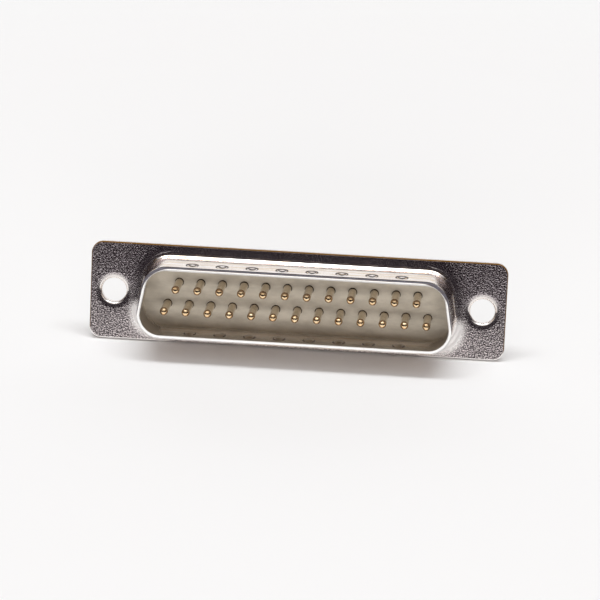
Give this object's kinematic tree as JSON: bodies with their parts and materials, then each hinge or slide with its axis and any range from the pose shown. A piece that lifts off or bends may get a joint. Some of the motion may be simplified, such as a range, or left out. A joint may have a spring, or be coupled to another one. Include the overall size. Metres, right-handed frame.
{
  "type": "d-sub connector",
  "caption": "Male D-shaped plug connector: tin-plated drawn shells clinched at the mounting holes, gold pins in a beige insulator, solder cups behind.",
  "frame": {"origin": "middle of the front shell's flange, on its front face, halfway between the two mounting holes", "axes": "+X along the contact rows, +Z from the long contact row towards the short one, -Y the mating direction, out of the shroud"},
  "size_m": [0.053, 0.0164, 0.0126],
  "materials": {
    "front_plate": "tin-plated drawn steel, finely grained flange and smooth drawn shroud",
    "rear_plate": "tin-plated drawn steel",
    "insulator": "satin moulded glass-filled plastic, warm grey-beige",
    "contact": "gold-plated turned brass"
  },
  "bodies": {
    "root": {"front_shell": "front_plate", "rear_shell": "rear_plate", "front_insulator": "insulator", "rear_insulator": "insulator", "contact_01": "contact", "contact_02": "contact", "contact_03": "contact", "contact_04": "contact", "contact_05": "contact", "contact_06": "contact", "contact_07": "contact", "contact_08": "contact", "contact_09": "contact", "contact_10": "contact", "contact_11": "contact", "contact_12": "contact", "contact_13": "contact", "contact_14": "contact", "contact_15": "contact", "contact_16": "contact", "contact_17": "contact", "contact_18": "contact", "contact_19": "contact", "contact_20": "contact", "contact_21": "contact", "contact_22": "contact", "contact_23": "contact", "contact_24": "contact", "contact_25": "contact"}
  },
  "joints": []
}
